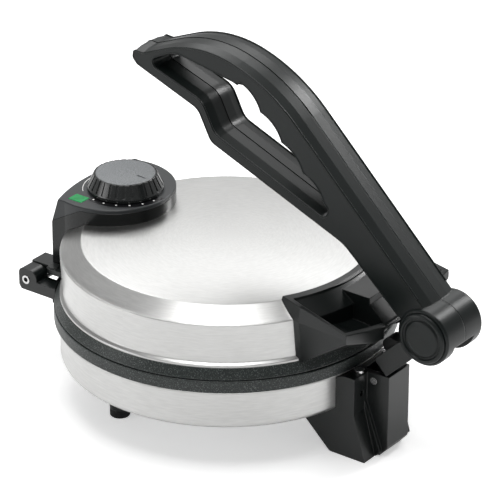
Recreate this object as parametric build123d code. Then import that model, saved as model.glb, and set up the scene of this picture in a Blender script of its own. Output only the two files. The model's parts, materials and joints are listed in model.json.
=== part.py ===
from build123d import *
import math
import os

# Electric roti maker.  Millimetres, Z up from the worktop, X across, -Y towards the front handle.
# Every piece is built about the plates' vertical axis and moved by FOOTPRINT_SHIFT when it is saved.

# Cooking plates
RIM_R = 117.2
LOWER_RIM_H = 8.4
UPPER_RIM_H = 7.4
RIM_GAP = 0.4
RIM_WIDTH = 10.0
COOK_MARGIN = 13.2
COOK_RECESS = 0.8
WEB_T = 6.0
COOK_R = RIM_R - COOK_MARGIN

# Base shell, pan and feet
RIM_OVERHANG = 3.8
BASE_BOTTOM_Z = 32.0
BASE_H = 29.0
BASE_CORNER_R = 4.0
BASE_FLANGE_W = 17.4
SHELL_T = 1.0
PAN_T = 1.2
FOOT_INSET = 32.9
FOOT_ANGLES = (26.6, 62.0, 118.0, 153.4)
FOOT_TOP_R = 9.5
FOOT_R = 7.0
FOOT_PAD_H = 6.0
BASE_R = RIM_R - RIM_OVERHANG
BASE_OPEN_R = BASE_R - BASE_FLANGE_W
FOOT_RING_R = BASE_R - FOOT_INSET
LOWER_RIM_Z = BASE_BOTTOM_Z + BASE_H
LOWER_TOP_Z = LOWER_RIM_Z + LOWER_RIM_H
UPPER_RIM_Z = LOWER_TOP_Z + RIM_GAP
LID_Z = UPPER_RIM_Z + UPPER_RIM_H
LOWER_WEB_Z = LOWER_TOP_Z - COOK_RECESS - WEB_T
UPPER_WEB_Z = UPPER_RIM_Z + COOK_RECESS + WEB_T
PAN_Z = BASE_BOTTOM_Z + SHELL_T
PAN_TOP_Z = PAN_Z + PAN_T

# Lid shell
BEAD_SETBACK = 4.2
BEAD_H = 3.0
BEAD_W = 3.2
BEAD_STEP = 2.1
WALL_H = 30.4
WALL_LEAN = 1.4
SHOULDER_W = 14.4
SHOULDER_H = 8.3
CROWN = 1.8
BEAD_R = RIM_R - BEAD_SETBACK
WALL_R = BEAD_R - BEAD_STEP
WALL_TOP_R = WALL_R + WALL_LEAN
WALL_TOP_Z = LID_Z + WALL_H
TOP_R = WALL_TOP_R - SHOULDER_W
TOP_Z = WALL_TOP_Z + SHOULDER_H

# Elements, shields and thermostat
SHIELD_MARGIN = 7.2
SHIELD_T = 0.8
SHIELD_EYE_R = 26.0
SHIELD_R = RIM_R - RIM_WIDTH - SHIELD_MARGIN
HEATER_INSET = 30.0
HEATER_R = SHIELD_R - HEATER_INSET
HEATER_W = 7.0
HEATER_H = 6.0
HEATER_TURN = 318.0
STUD_INSET = 12.0
STUD_RING_R = SHIELD_R - STUD_INSET
STUD_ANGLES = (45.0, 135.0, 225.0, 315.0)
STUD_NECK_R = 3.0
STUD_R = STUD_NECK_R + 1.5
CUTOUT_R = 8.5
CUTOUT_H = 9.0
THERMOSTAT_R = 12.0
THERMOSTAT_H = 24.0
THERMOSTAT_COLLAR_R = 5.0
GLAND_ANGLE = 52.0
GLAND_RISE = 14.0
GLAND_Z = BASE_BOTTOM_Z + GLAND_RISE
GLAND_R = 7.0

# Rear hinge
HINGE_SETBACK = 9.8
HINGE_RISE = 0.6
HINGE_PIN_R = 3.1
HINGE_PIN_BORE_R = 1.7
HINGE_Y = RIM_R + HINGE_SETBACK
HINGE_Z = LOWER_TOP_Z + HINGE_RISE
EAR_IN_X = 48.1
EAR_W = 11.9
EAR_OUT_X = EAR_IN_X + EAR_W
EAR_HALF_H = 8.0
KNUCKLE_R = 6.4
EAR_REAR_Y = HINGE_Y + KNUCKLE_R
EAR_FRONT_Y = HINGE_Y - 9.2
EAR_TOP_Z = HINGE_Z + EAR_HALF_H
EAR_BOTTOM_Z = HINGE_Z - EAR_HALF_H
EAR_ROUND = 4.0
ARM_L = 26.0
ARM_END_Y = HINGE_Y - ARM_L
KNUCKLE_IN_X = 33.4
BRACKET_T = 4.0
LID_PLATE_RISE = 9.0
LID_PLATE_T = 3.6
LID_PLATE_Z = HINGE_Z + LID_PLATE_RISE
LID_PLATE_REAR_Y = HINGE_Y + 4.6
LID_PLATE_HALF_X = EAR_IN_X + 3.9
LID_PLATE_ROOT_Y = WALL_R - 30.9
LID_BOSS_R = 3.9
LID_BOSS_X = LID_PLATE_HALF_X - 4.5
LID_BOSS_Y = HINGE_Y - 14.5

# Knob and dial
KNOB_BASE_R = 26.4
KNOB_TAPER = 4.6
KNOB_TOP_R = KNOB_BASE_R - KNOB_TAPER
KNOB_CAP_R = KNOB_TOP_R - 1.2
KNOB_CAP_T = 1.6
KNOB_BAND_H = 2.0
KNOB_H = 11.6
KNOB_GAP = 0.5
KNOB_RIBS = 30
KNOB_GROOVE = 0.8
KNOB_WALL = 2.4
SHAFT_R = 3.0
THERMOSTAT_NUT_R = 8.0
THERMOSTAT_NUT_H = 2.0
DIAL_W = 5.0
DIAL_R = KNOB_BASE_R + DIAL_W
DIAL_T = 0.8
DIAL_FROM = 164.0
DIAL_TO = 275.0

# Control housing
POD_MARGIN = 11.6
POD_REAR_SETBACK = 2.0
POD_DEPTH = 28.0
POD_RISE = 12.6
POD_COVER_T = 2.7
POD_WALL = 3.0
POD_LEAN = 5.5
POD_BACK_H = 18.5
POD_R = DIAL_R + POD_MARGIN
POD_REAR_R = HINGE_Y - POD_REAR_SETBACK
POD_REAR_TOP_R = POD_REAR_R - POD_LEAN
POD_Y = POD_REAR_R - POD_DEPTH
POD_TOP_Z = TOP_Z + POD_RISE
POD_REAR_Z = POD_TOP_Z - POD_BACK_H
POD_REAR_HALF_X = POD_R - 1.0
POD_SEAM_Z = POD_TOP_Z - POD_COVER_T
SEAM_BREAK_Y = POD_Y - 5.0
SEAM_REAR_Y = POD_REAR_TOP_R - 1.0
SEAM_REAR_Z = POD_REAR_Z + 0.5
KNOB_OFFSET = 10.6
KNOB_Y = POD_Y - KNOB_OFFSET
KNOB_Z = POD_TOP_Z + KNOB_GAP
LENS_W = 9.4
LENS_L = 11.4
LENS_X = POD_R - 10.5
LENS_Y = POD_Y + 4.3
LAMP_R = 2.6

# Front handle
HANDLE_REACH = 23.0
HANDLE_HALF_X = 59.0
HANDLE_NOSE_Y = -(RIM_R + HANDLE_REACH)
HANDLE_MID_Y = -(WALL_R - 8.9)
HANDLE_ROOT_Y = HANDLE_MID_Y + 20.0
HANDLE_TOP_Z = TOP_Z + 2.6
HANDLE_TOP_HALF_X = HANDLE_HALF_X - 9.0
HANDLE_ROOT_HALF_X = HANDLE_HALF_X - 2.0
HANDLE_FOOT_HALF_X = HANDLE_HALF_X - 5.0
HANDLE_TIP_Z = HANDLE_TOP_Z - 7.9
HANDLE_DIP_Z = HANDLE_TOP_Z - 19.9
HANDLE_TIP_T = 6.6
HANDLE_KEEL_Z = LID_Z + 11.8
HANDLE_KEEL_HALF_X = 27.0
HANDLE_BEND_X = 30.0
HANDLE_SPINE_X = 5.0
HANDLE_FLOOR_Z = HANDLE_KEEL_Z + 9.0
HANDLE_WALL = 3.2
BAND_R = TOP_R + 6.1
RAMP_HALF_X = 14.0
RAMP_TOP_Z = TOP_Z - 0.9
RAMP_STEP_Y = HANDLE_NOSE_Y + 13.2
RAMP_STEP_H = 4.6
RAMP_TOE_Z = RAMP_TOP_Z - 15.0

# Front leg
LEG_STANDOFF = 7.8
LEG_HALF_X = 27.0
LEG_FACE_Y = -(RIM_R + LEG_STANDOFF)
LEG_KNEE_Z = BASE_BOTTOM_Z + 1.0
LEG_TOE_Y = LEG_FACE_Y - 9.2
LEG_HEEL_Y = LEG_FACE_Y + 19.0
LEG_BACK_Y = LEG_FACE_Y + 53.0
LEG_TOP_Z = LOWER_RIM_Z - 0.8
LEG_SHOULDER_Z = LEG_TOP_Z - 0.5
LEG_WALL = 3.6
COLUMN_REACH = 17.2
COLUMN_Y = LEG_FACE_Y - COLUMN_REACH

# Link between leg and lever
LINK_PIN_Y = LEG_FACE_Y - 5.0
LINK_PIN_Z = LEG_TOP_Z - 6.2
LINK_PIN_R = 2.5
LINK_REACH_Y = 42.9
LINK_REACH_Z = 48.9
LINK_HALF_X = 12.0
LINK_TONGUE_HALF_X = 4.0
LINK_EYE_R = 6.0
LINK_DEPTH = 14.0
LINK_NECK = 8.0
LINK_SWEEP = 2.0         # room beside the ramp in the bevel under the handle's nose
LINK_BEVEL_LIP = 1.5     # from the ramp's toe down to the bevel
LINK_BEVEL_ANGLE = 39.2  # degrees, the slope that the pressed link comes to lie along
KNUCKLE_HALF_X = LINK_HALF_X - 1.0
COLUMN_HALF_X = LINK_HALF_X
COLUMN_SLOT_HALF_X = COLUMN_HALF_X - LEG_WALL
SPRING_WIRE_R = 0.8

# Lever and its hub
HUB_Y = LINK_PIN_Y - LINK_REACH_Y
HUB_Z = LINK_PIN_Z + LINK_REACH_Z
HUB_R = 19.5
HUB_CAVITY_R = HUB_R - 3.4
LINK_HUB_R = HUB_CAVITY_R - 0.8
CAP_R = HUB_R - 2.2
CAP_T = 4.2
CAP_SEAT_T = 1.8
BOLT_R = 5.0
BOLT_HEAD_R = BOLT_R + 3.0
BOLT_HEAD_T = 3.4
BUSH_R = BOLT_R + 2.0
LEVER_HALF_X = 17.0
LEVER_EDGE_X = 9.0
LEVER_EDGE_DRAFT = 10.0
LEVER_DRAFT = 3.0
HUB_HALF_X = LEVER_HALF_X + 3.4
FINGER_PITCH = 24.0
FINGER_DEPTH = 2.8
FINGERS = 4
SLOT_FROM = 195.0
SLOT_TO = 331.0

# Fits and fasteners
RUN = 0.05               # radial clearance of a turning fit
GAP = 0.4                # sideways clearance between parts that swing past each other
SCREW_R = 1.8
SCREW_HEAD_R = 3.4
SCREW_HEAD_H = 2.2

FOOTPRINT_SHIFT = -(EAR_REAR_Y + HUB_Y - HUB_R) / 2


def outline(*corners):
    """Straight-sided face through (a, b) corners, rounded where a corner has a third value."""
    face = Face(Wire.make_polygon([(a, b) for a, b, *_ in corners]))
    for a, b, *rounding in corners:
        if rounding:
            corner = face.vertices().sort_by_distance(Vector(a, b))[0]
            face = face.fillet_2d(rounding[0], [corner])
    return face if face.normal_at().Z > 0 else -face


def turned(*corners):
    """Body of revolution about the plates' axis from (radius, height) corners."""
    return revolve(Plane.XZ * outline(*corners), Axis.Z)


def plate_between(x_from, x_to, *corners):
    """Side outline in (Y, Z) with its thickness along X."""
    return extrude(Plane.YZ.offset(x_from) * outline(*corners), x_to - x_from)


def post(radius, z_from, z_to, x=0.0, y=0.0):
    return Pos(x, y, (z_from + z_to) / 2) * Cylinder(radius, z_to - z_from)


def cross_rod(radius, y, z, x_from, x_to):
    return Pos((x_from + x_to) / 2, y, z) * Rot(0, 90, 0) * Cylinder(radius, x_to - x_from)


def fore_rod(radius, x, z, y_from, y_to):
    return Pos(x, (y_from + y_to) / 2, z) * Rot(90, 0, 0) * Cylinder(radius, y_to - y_from)


def radial_rod(radius, degrees, z, r_from, r_to):
    """Rod that points straight out from the plates' axis."""
    return Rot(0, 0, degrees) * cross_rod(radius, 0, z, r_from, r_to)


def block(x_from, x_to, y_from, y_to, z_from, z_to):
    centre = Pos((x_from + x_to) / 2, (y_from + y_to) / 2, (z_from + z_to) / 2)
    return centre * Box(x_to - x_from, y_to - y_from, z_to - z_from)


def on_ring(radius, degrees):
    return radius * math.cos(math.radians(degrees)), radius * math.sin(math.radians(degrees))


def sector(r_in, r_out, z_from, z_to, degrees_from, degrees_to):
    ring = turned((r_in, z_from), (r_out, z_from), (r_out, z_to), (r_in, z_to))
    reach = r_out * 2
    corners = (0, 0), on_ring(reach, degrees_from), on_ring(reach, degrees_to)
    wedge = make_face(Polyline(*corners, close=True))
    return ring & extrude(Pos(0, 0, z_from) * wedge, z_to - z_from)


def mirrored(shape):
    return shape + mirror(shape, Plane.YZ)


def group(shapes):
    """Separate solids that share one node."""
    return Compound([solid for shape in shapes for solid in shape.solids()])


# Cooking plates, elements and shields


def plate_casting(face_z, facing, back_z, back_r):
    """Cast plate with a raised rim, a recessed cooking face and a flat web behind it."""
    cook_z = face_z - facing * COOK_RECESS
    web_z = cook_z - facing * WEB_T
    return turned(
        (0, cook_z), (COOK_R, cook_z), (COOK_R + 2.0, face_z), (RIM_R, face_z, 0.8), (back_r, back_z),
        (RIM_R - RIM_WIDTH, back_z), (RIM_R - RIM_WIDTH, web_z), (0, web_z),
    )


def lower_plate():
    return plate_casting(LOWER_TOP_Z, 1, LOWER_RIM_Z, RIM_R)


def upper_plate():
    return plate_casting(UPPER_RIM_Z, -1, LID_Z, BEAD_R)


def element_ends():
    start = 90.0 + (360.0 - HEATER_TURN) / 2
    return start + 1.5, start + HEATER_TURN - 1.5


def element(web_z, side):
    """Flattened tubular element against a web, with two cold ends that turn away from it."""
    far_z = web_z + side * HEATER_H
    section = outline(
        (HEATER_R - HEATER_W / 2, web_z), (HEATER_R + HEATER_W / 2, web_z),
        (HEATER_R + HEATER_W / 2, far_z, HEATER_H / 3), (HEATER_R - HEATER_W / 2, far_z, HEATER_H / 3),
    )
    first, last = element_ends()
    ring = Rot(0, 0, first - 1.5) * revolve(Plane.XZ * section, Axis.Z, HEATER_TURN)
    for degrees in (first, last):
        x, y = on_ring(HEATER_R, degrees)
        ring += post(HEATER_W / 3, *sorted((web_z + side, far_z + side * HEATER_H)), x, y)
    return ring


def lower_heater():
    return element(LOWER_WEB_Z, -1)


def upper_heater():
    return element(UPPER_WEB_Z, 1)


def shield(web_z, side):
    """Pressed tray that holds the element against its plate."""
    near = web_z + side * HEATER_H
    far = near + side * SHIELD_T
    lip = web_z + side * SHIELD_T
    tray = turned(
        (SHIELD_EYE_R, far), (SHIELD_R, far), (SHIELD_R, lip),
        (SHIELD_R - SHIELD_T, lip), (SHIELD_R - SHIELD_T, near), (SHIELD_EYE_R, near),
    )
    low, high = sorted((near, far))
    for degrees in STUD_ANGLES:
        tray -= post(STUD_NECK_R, low, high, *on_ring(STUD_RING_R, degrees))
    for degrees in element_ends():
        tray -= post(HEATER_W / 3 + GAP, low, high, *on_ring(HEATER_R, degrees))
    return tray


def lower_shield():
    return shield(LOWER_WEB_Z, -1)


def upper_shield():
    return shield(UPPER_WEB_Z, 1)


def studs(web_z, side, seat_z):
    """Shouldered posts: the neck goes through the shield to the web and the shoulder clamps the shield."""
    shoulder = web_z + side * (HEATER_H + SHIELD_T)
    pieces = []
    for degrees in STUD_ANGLES:
        x, y = on_ring(STUD_RING_R, degrees)
        column = post(STUD_R, *sorted((shoulder, seat_z)), x, y)
        pieces.append(column + post(STUD_NECK_R, *sorted((shoulder, web_z)), x, y))
    return group(pieces)


def base_studs():
    return studs(LOWER_WEB_Z, -1, PAN_TOP_Z)


def lid_studs():
    return studs(UPPER_WEB_Z, 1, crown_z(STUD_RING_R + STUD_R) - SHELL_T)


def thermal_cutout():
    """Disc cut-out with two blade tabs, held on the middle of the lower plate."""
    can = post(CUTOUT_R, LOWER_WEB_Z - CUTOUT_H, LOWER_WEB_Z)
    for side in (-1, 1):
        tab_x = side * CUTOUT_R / 2
        can += block(tab_x - 0.4, tab_x + 0.4, -3, 3, LOWER_WEB_Z - CUTOUT_H * 1.8, LOWER_WEB_Z - CUTOUT_H)
    return can


# Base shell, pan and feet

VENTS = 8
VENT_RING_R = 46.0
VENT_L = 30.0
VENT_W = 4.0
TERMINALS = 4
TERMINAL_PITCH = 8.0
TERMINAL_END = 4.0
TERMINAL_Y = 45.0
TERMINAL_DEPTH = 14.0
TERMINAL_H = 12.0
TERMINAL_WIRE_H = 7.0
TERMINAL_WIRE_R = 1.6
TERMINAL_SCREW_R = 2.2
BRACKET_SCREW_ANGLES = (78.0, 102.0)
BRACKET_PAD_R = RIM_R - 0.4
PAD_HALF_ANGLE = 22.0
CRADLE_HALF_ANGLE = 27.0
BRACKET_SCREW_Z = LOWER_RIM_Z - 13.0
LEG_SCREW_X = LEG_HALF_X - 9.0
LEG_SCREW_Z = LEG_TOP_Z - 14.2
LEG_SCREW_L = 10.0
LEG_TOP_SCREW_X = COLUMN_HALF_X + 4.0
LEG_TOP_SCREW_Y = LEG_FACE_Y + 3.8


def base_shell():
    top = LOWER_RIM_Z
    shell = turned(
        (BASE_OPEN_R, BASE_BOTTOM_Z), (BASE_R, BASE_BOTTOM_Z, BASE_CORNER_R), (BASE_R, top - SHELL_T),
        (RIM_R, top - SHELL_T), (RIM_R, top), (BASE_R - SHELL_T, top),
        (BASE_R - SHELL_T, PAN_Z, BASE_CORNER_R - SHELL_T), (BASE_OPEN_R, PAN_Z),
    )
    for degrees in BRACKET_SCREW_ANGLES:
        shell -= radial_rod(SCREW_R, degrees, BRACKET_SCREW_Z, BASE_R - 5, BASE_R + 5)
    shell -= radial_rod(GLAND_R, GLAND_ANGLE, GLAND_Z, BASE_R - 5, BASE_R + 5)
    for x in (-LEG_SCREW_X, LEG_SCREW_X):
        shell -= fore_rod(SCREW_R, x, LEG_SCREW_Z, -BASE_R - 10, -BASE_R + 10)
    return shell


def base_pan():
    pan = post(BASE_R - BASE_CORNER_R - SHELL_T, PAN_Z, PAN_TOP_Z)
    for vent in range(VENTS):
        slot = extrude(SlotOverall(VENT_L, VENT_W), PAN_T)
        pan -= Rot(0, 0, vent * 360 / VENTS) * Pos(VENT_RING_R, 0, PAN_Z) * slot
    for degrees in FOOT_ANGLES:
        pan -= post(SCREW_R, PAN_Z, PAN_TOP_Z, *on_ring(FOOT_RING_R, degrees))
    return pan


def foot_posts():
    posts = []
    height = PAN_Z - FOOT_PAD_H
    for degrees in FOOT_ANGLES:
        x, y = on_ring(FOOT_RING_R, degrees)
        leg = Pos(x, y, FOOT_PAD_H + height / 2) * Cone(FOOT_R, FOOT_TOP_R, height)
        posts.append(leg - post(SCREW_R, PAN_Z - 10, PAN_Z, x, y))
    return group(posts)


def rubber_feet():
    feet = []
    for degrees in FOOT_ANGLES:
        pad = post(FOOT_R, 0, FOOT_PAD_H, *on_ring(FOOT_RING_R, degrees))
        feet.append(fillet(pad.edges().sort_by(Axis.Z)[0], FOOT_PAD_H / 5))
    return group(feet)


def foot_screws():
    screws = []
    for degrees in FOOT_ANGLES:
        x, y = on_ring(FOOT_RING_R, degrees)
        shank = post(SCREW_R, PAN_Z - 9, PAN_TOP_Z, x, y)
        screws.append(shank + post(SCREW_HEAD_R, PAN_TOP_Z, PAN_TOP_Z + SCREW_HEAD_H, x, y))
    return group(screws)


def terminal_block():
    half_x, top = TERMINALS * TERMINAL_PITCH / 2 + TERMINAL_END, PAN_TOP_Z + TERMINAL_H
    front, rear = TERMINAL_Y - TERMINAL_DEPTH / 2, TERMINAL_Y + TERMINAL_DEPTH / 2
    wire_z = PAN_TOP_Z + TERMINAL_WIRE_H
    body = block(-half_x, half_x, front, rear, PAN_TOP_Z, top)
    for terminal in range(TERMINALS):
        x = (terminal - (TERMINALS - 1) / 2) * TERMINAL_PITCH
        body -= fore_rod(TERMINAL_WIRE_R, x, wire_z, front, rear)
        body -= post(TERMINAL_SCREW_R, wire_z, top, x, TERMINAL_Y)
    return fillet(body.edges().filter_by(Axis.Z).group_by(Axis.X)[0], 1.0)


def cord_gland():
    """Grommet that grips the shell between two flanges, with a bore for the supply cord."""
    inside = BASE_R - SHELL_T
    flat = math.sqrt(inside**2 - (GLAND_R + 2.5) ** 2)
    body = radial_rod(GLAND_R, GLAND_ANGLE, GLAND_Z, flat - 3, BASE_R + 3)
    body += radial_rod(GLAND_R + 2.5, GLAND_ANGLE, GLAND_Z, flat - 3, flat)
    body += radial_rod(GLAND_R + 2.5, GLAND_ANGLE, GLAND_Z, BASE_R, BASE_R + 2.5)
    body += radial_rod(GLAND_R - 2, GLAND_ANGLE, GLAND_Z, BASE_R + 2.5, BASE_R + 9)
    return body - radial_rod(GLAND_R / 2, GLAND_ANGLE, GLAND_Z, flat - 4, BASE_R + 10)


# Front leg


def base_envelope():
    """Everything inside the base shell's outer skin and its lip."""
    return turned(
        (0, BASE_BOTTOM_Z), (BASE_R, BASE_BOTTOM_Z, BASE_CORNER_R), (BASE_R, LOWER_RIM_Z - SHELL_T),
        (RIM_R, LOWER_RIM_Z - SHELL_T), (RIM_R, LOWER_TOP_Z), (0, LOWER_TOP_Z),
    )


def front_leg():
    rear = [
        (LEG_HEEL_Y, 0, 3.0), (LEG_BACK_Y, BASE_BOTTOM_Z), (LEG_FACE_Y + 25, BASE_BOTTOM_Z + 6),
        (LEG_FACE_Y + 21, LEG_TOP_Z - 5), (LEG_FACE_Y + 8, LEG_SHOULDER_Z),
    ]
    wings = plate_between(
        -LEG_HALF_X, LEG_HALF_X,
        (LEG_FACE_Y, LEG_SHOULDER_Z), (LEG_FACE_Y, LEG_KNEE_Z), (LEG_TOE_Y, 0), *rear,
    )
    column = plate_between(
        -COLUMN_HALF_X, COLUMN_HALF_X,
        (COLUMN_Y, LEG_TOP_Z), (COLUMN_Y, 7.0, 3.0), (LEG_TOE_Y - 2.0, 0), (LEG_HEEL_Y, 0),
        (LEG_FACE_Y + 6, LEG_KNEE_Z), (LEG_FACE_Y + 6, LEG_SHOULDER_Z),
    )
    gusset = plate_between(
        COLUMN_HALF_X, COLUMN_HALF_X + 2.6,
        (LEG_FACE_Y, LEG_KNEE_Z + 6), (COLUMN_Y + 3.5, 3.0), (LEG_TOE_Y, 0), (LEG_FACE_Y, 2.0),
    )
    leg = wings + column + mirrored(gusset)
    leg -= leg_pockets()
    leg -= base_envelope()
    leg -= plate_between(
        -COLUMN_SLOT_HALF_X, COLUMN_SLOT_HALF_X,
        (COLUMN_Y + 3.6, LEG_TOP_Z + 2), (COLUMN_Y + 3.6, LINK_PIN_Z - 8.0, 3.0),
        (LINK_PIN_Y + 9.0, LINK_PIN_Z - 8.0, 3.0), (LINK_PIN_Y + 9.0, LEG_TOP_Z + 2),
    )
    leg -= cross_rod(LINK_PIN_R, LINK_PIN_Y, LINK_PIN_Z, -COLUMN_HALF_X, COLUMN_HALF_X)
    for x in (-LEG_SCREW_X, LEG_SCREW_X):
        leg -= fore_rod(SCREW_R, x, LEG_SCREW_Z, -BASE_R - 12, -BASE_R + 4)
        leg -= post(SCREW_R, LEG_TOP_Z - 9, LEG_TOP_Z, math.copysign(LEG_TOP_SCREW_X, x), LEG_TOP_SCREW_Y)
    return leg


def leg_pockets():
    """Hollows that open at the foot, so that the moulding has even walls."""
    inner = LEG_HALF_X - LEG_WALL
    heel = LEG_HEEL_Y - LEG_WALL - 1
    side = plate_between(
        COLUMN_HALF_X - LEG_WALL / 2, inner,
        (LEG_FACE_Y + LEG_WALL, LEG_KNEE_Z - 4), (LEG_TOE_Y + LEG_WALL + 1, 0), (heel, 0),
        (LEG_FACE_Y + 29, BASE_BOTTOM_Z - 14), (LEG_FACE_Y + 21, LEG_KNEE_Z - 4),
    )
    middle = plate_between(
        -COLUMN_HALF_X + LEG_WALL, COLUMN_HALF_X - LEG_WALL,
        (COLUMN_Y + LEG_WALL, LEG_KNEE_Z + 5), (COLUMN_Y + LEG_WALL, 9.0), (LEG_TOE_Y + 2.0, 0), (heel, 0),
        (LEG_FACE_Y + 7, LEG_KNEE_Z + 5),
    )
    return mirrored(side) + middle


def leg_screws():
    screws = []
    inside = BASE_R - SHELL_T
    for x in (-LEG_SCREW_X, LEG_SCREW_X):
        seat_y = -math.sqrt(inside**2 - (LEG_SCREW_X + SCREW_HEAD_R) ** 2)
        shank = fore_rod(SCREW_R, x, LEG_SCREW_Z, seat_y - LEG_SCREW_L, seat_y)
        head = fore_rod(SCREW_HEAD_R, x, LEG_SCREW_Z, seat_y, seat_y + SCREW_HEAD_H)
        screws.append(shank + head)
    return group(screws)


def leg_top_screws():
    screws = []
    for x in (-LEG_TOP_SCREW_X, LEG_TOP_SCREW_X):
        head = post(SCREW_HEAD_R, LEG_SHOULDER_Z, LEG_SHOULDER_Z + SCREW_HEAD_H, x, LEG_TOP_SCREW_Y)
        screws.append(head + post(SCREW_R, LEG_SHOULDER_Z - 8, LEG_SHOULDER_Z, x, LEG_TOP_SCREW_Y))
    return group(screws)


# Link and its spring


# Lower end of the link's beam, on its centre line
LINK_FOOT_Y = LINK_PIN_Y - 5.0
LINK_FOOT_Z = LINK_PIN_Z + 11.5


def toward_hub(along, across=0.0):
    """Point on the link: distance back from the hub along its centre line, and to its upper side."""
    angle = math.atan2(HUB_Z - LINK_FOOT_Z, HUB_Y - LINK_FOOT_Y)
    dy, dz = math.cos(angle), math.sin(angle)
    return HUB_Y - along * dy + across * dz, HUB_Z - along * dz - across * dy


def lever_link():
    half = LINK_DEPTH / 2
    shoulder = HUB_R + 7.5
    neck_end = HUB_R + 2.6
    end = math.hypot(HUB_Y - LINK_FOOT_Y, HUB_Z - LINK_FOOT_Z)
    beam = plate_between(
        -LINK_HALF_X, LINK_HALF_X,
        (*toward_hub(end, half), 2.5), toward_hub(shoulder, half), toward_hub(neck_end - 1.0, LINK_NECK / 2),
        toward_hub(neck_end - 1.0, -LINK_NECK / 2), toward_hub(shoulder, -half), toward_hub(end, -half),
    )
    neck = plate_between(
        -KNUCKLE_HALF_X, KNUCKLE_HALF_X,
        toward_hub(neck_end, LINK_NECK / 2), toward_hub(LINK_HUB_R - 4, LINK_NECK / 2),
        toward_hub(LINK_HUB_R - 4, -LINK_NECK / 2), toward_hub(neck_end, -LINK_NECK / 2),
    )
    knuckle = cross_rod(LINK_HUB_R, HUB_Y, HUB_Z, -KNUCKLE_HALF_X, KNUCKLE_HALF_X)
    tongue = plate_between(
        -LINK_TONGUE_HALF_X, LINK_TONGUE_HALF_X,
        toward_hub(end - 4, LINK_EYE_R), (LINK_PIN_Y + LINK_EYE_R, LINK_PIN_Z),
        (LINK_PIN_Y - LINK_EYE_R, LINK_PIN_Z), toward_hub(end - 4, -LINK_EYE_R / 2.4),
    )
    eye = cross_rod(LINK_EYE_R, LINK_PIN_Y, LINK_PIN_Z, -LINK_TONGUE_HALF_X, LINK_TONGUE_HALF_X)
    heel = plate_between(
        2.0, LINK_HALF_X,
        toward_hub(end, half - 2), (*toward_hub(end, half + 7), 5.0), (*toward_hub(end - 9, half + 7), 4.0),
        toward_hub(end - 15, half - 2),
    )
    link = beam + neck + knuckle + tongue + eye + heel
    link -= cross_rod(BUSH_R, HUB_Y, HUB_Z, -KNUCKLE_HALF_X, KNUCKLE_HALF_X)
    return link - cross_rod(LINK_PIN_R + RUN, LINK_PIN_Y, LINK_PIN_Z, -LINK_HALF_X, LINK_HALF_X)


def pivot_bush():
    bush = cross_rod(BUSH_R, HUB_Y, HUB_Z, -KNUCKLE_HALF_X, KNUCKLE_HALF_X)
    return bush - cross_rod(BOLT_R + RUN, HUB_Y, HUB_Z, -KNUCKLE_HALF_X, KNUCKLE_HALF_X)


def link_pin():
    return cross_rod(LINK_PIN_R, LINK_PIN_Y, LINK_PIN_Z, -COLUMN_HALF_X, COLUMN_HALF_X)


def link_spring():
    """Torsion spring on the link's pin, between the tongue and the column's wall."""
    room = COLUMN_SLOT_HALF_X - LINK_TONGUE_HALF_X
    coils = int((room - GAP) / (2 * SPRING_WIRE_R))
    coil_r = LINK_PIN_R + SPRING_WIRE_R + GAP
    start = -LINK_TONGUE_HALF_X - GAP - SPRING_WIRE_R
    pitch = 1.9 * SPRING_WIRE_R
    rings = []
    for turn in range(coils):
        x = start - turn * pitch
        rings.append(Pos(x, LINK_PIN_Y, LINK_PIN_Z) * Rot(0, 90, 0) * Torus(coil_r, SPRING_WIRE_R))
    last = start - (coils - 1) * pitch
    spring = rings[0]
    for ring in rings[1:]:
        spring += ring
    foot = fore_rod(SPRING_WIRE_R, last, LINK_PIN_Z - coil_r, LINK_PIN_Y - 6, LINK_PIN_Y + 6)
    return spring + foot


# Lever

# Corners of the lever from its hub, as (forward, up, rounding), seen from the side
LEVER_BACK = [
    (-5.0, 12.1), (125.1, 140.1, 120.0), (182.2, 158.2, 84.0), (229.6, 138.6, 5.0), (237.0, 139.3, 2.2),
    (237.6, 134.0, 3.0), (234.0, 130.2, 5.0),
]
LEVER_BELLY = [(183.4, 111.2, 12.0), (172.6, 90.4, 9.0), (64.9, 47.4, 30.0), (12.0, 0.0), (-5.0, 0.0)]
HOLE_BELLY = [
    (224.0, 136.5, 4.0), (219.5, 130.6, 3.0), (180.9, 117.0, 14.0), (170.3, 96.2, 12.0), (80.5, 59.8, 4.5),
]
HOLE_BACK = [(76.6, 67.6, 4.5), (150.1, 137.2, 22.0), (203.5, 146.8, 22.0)]
GRIP_ANGLE = 44.5
LEVER_SCREWS = [(40.0, 39.0), (118.0, 121.0), (172.0, 147.5)]
LEVER_SCREW_SINK = 6.0
LEVER_SCREW_BITE = 8.0


def at_hub(corners):
    return [(HUB_Y + y, HUB_Z + z, *rounding) for y, z, *rounding in corners]


def finger_lobes():
    """Grooves for the fingers along the hole's upper side."""
    rise = math.tan(math.radians(GRIP_ANGLE))
    start_y, start_z = HOLE_BACK[0][0], HOLE_BACK[0][1]
    lobe_r = ((FINGER_PITCH / 2) ** 2 + FINGER_DEPTH**2) / (2 * FINGER_DEPTH)
    lobes = []
    for finger in range(FINGERS):
        along = (finger + 0.75) * FINGER_PITCH
        y = start_y + along * math.cos(math.radians(GRIP_ANGLE))
        z = start_z + along * math.cos(math.radians(GRIP_ANGLE)) * rise
        centre = Plane.YZ * Pos(HUB_Y + y, HUB_Z + z) * Rot(0, 0, GRIP_ANGLE)
        disc = centre * Pos(0, FINGER_DEPTH - lobe_r) * Circle(lobe_r)
        window = centre * Pos(0, FINGER_DEPTH - 3.0) * Rectangle(FINGER_PITCH, 6.0)
        lobes.append(extrude(disc & window, LEVER_HALF_X))
    return lobes


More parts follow.
